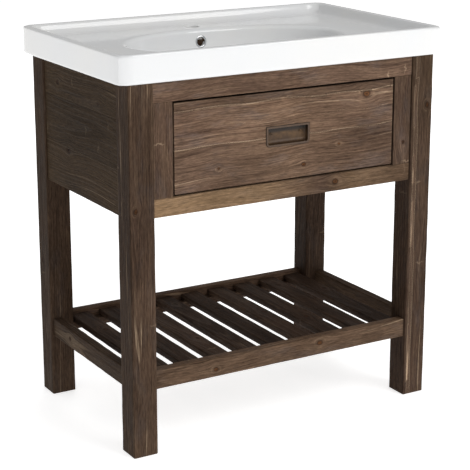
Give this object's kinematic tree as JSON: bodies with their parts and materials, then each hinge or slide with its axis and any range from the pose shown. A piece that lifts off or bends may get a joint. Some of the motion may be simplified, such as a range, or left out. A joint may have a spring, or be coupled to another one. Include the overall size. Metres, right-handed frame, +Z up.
{
  "type": "bathroom vanity cabinet",
  "caption": "Pine washstand with a slatted lower shelf and one drawer on ball-bearing slides, under a ceramic basin with an oval bowl.",
  "frame": {"origin": "on the floor, under the middle of the whole object", "axes": "+X to the right seen from the front, +Y to the back, where the wall is, +Z up"},
  "size_m": [0.79, 0.49, 0.85],
  "materials": {
    "stained_pine": "dark brown stain, brushed grain, matt",
    "drawer_pine": "planed pine, clear matt lacquer",
    "glazed_ceramic": "white gloss glaze",
    "chrome_plate": "polished",
    "aged_bronze": "dark antique bronze, satin",
    "zinc_steel": "zinc plated",
    "black_rubber": "matt"
  },
  "bodies": {
    "frame": {"back_bottom_rail": "stained_pine", "back_stile_left": "stained_pine", "back_stile_right": "stained_pine", "back_top_rail": "stained_pine", "drawer_stile_left": "stained_pine", "drawer_stile_right": "stained_pine", "front_bottom_rail": "stained_pine", "front_top_rail": "stained_pine", "leg_back_left": "stained_pine", "leg_back_right": "stained_pine", "leg_front_left": "stained_pine", "leg_front_right": "stained_pine", "overflow_ring": "chrome_plate", "runner_board_left": "drawer_pine", "runner_board_right": "drawer_pine", "shelf_back_rail": "stained_pine", "shelf_cleat_back": "stained_pine", "shelf_cleat_front": "stained_pine", "shelf_front_rail": "stained_pine", "shelf_side_rail_left": "stained_pine", "shelf_side_rail_right": "stained_pine", "shelf_slat_1": "stained_pine", "shelf_slat_2": "stained_pine", "shelf_slat_3": "stained_pine", "shelf_slat_4": "stained_pine", "shelf_slat_5": "stained_pine", "shelf_slat_6": "stained_pine", "shelf_slat_7": "stained_pine", "shelf_slat_8": "stained_pine", "shelf_slat_9": "stained_pine", "side_panel_left": "stained_pine", "side_panel_right": "stained_pine", "slide_outer_left": "zinc_steel", "slide_outer_right": "zinc_steel", "washbasin": "glazed_ceramic", "waste_body": "chrome_plate", "waste_nut": "zinc_steel", "waste_seal": "black_rubber"},
    "drawer": {"drawer_back_left": "drawer_pine", "drawer_back_right": "drawer_pine", "drawer_bottom": "drawer_pine", "drawer_box_front": "drawer_pine", "drawer_front": "stained_pine", "drawer_front_screw_left": "zinc_steel", "drawer_front_screw_right": "zinc_steel", "drawer_pull": "aged_bronze", "drawer_side_left": "drawer_pine", "drawer_side_right": "drawer_pine", "pull_screw_left": "aged_bronze", "pull_screw_right": "aged_bronze", "recess_front": "drawer_pine", "recess_side_left": "drawer_pine", "recess_side_right": "drawer_pine", "slide_inner_left": "zinc_steel", "slide_inner_right": "zinc_steel"},
    "slide_member_left": {"slide_middle_left": "zinc_steel"},
    "slide_member_right": {"slide_middle_right": "zinc_steel"},
    "plug": {"waste_plug": "chrome_plate"}
  },
  "joints": [
    {"name": "drawer_slide", "type": "slide", "parent": "frame", "child": "drawer", "axis": [0, -1, 0], "range_m": [0, 0.35]},
    {"name": "slide_member_left_slide", "type": "slide", "parent": "frame", "child": "slide_member_left", "axis": [0, -1, 0], "range_m": [0, 0.175]},
    {"name": "slide_member_right_slide", "type": "slide", "parent": "frame", "child": "slide_member_right", "axis": [0, -1, 0], "range_m": [0, 0.175]},
    {"name": "plug_lift", "type": "slide", "parent": "frame", "child": "plug", "axis": [0, 0, 1], "range_m": [0, 0.008]}
  ],
  "couplings": [
    {"joint": "slide_member_left_slide", "follows": "drawer_slide", "ratio": 0.5},
    {"joint": "slide_member_right_slide", "follows": "drawer_slide", "ratio": 0.5}
  ]
}
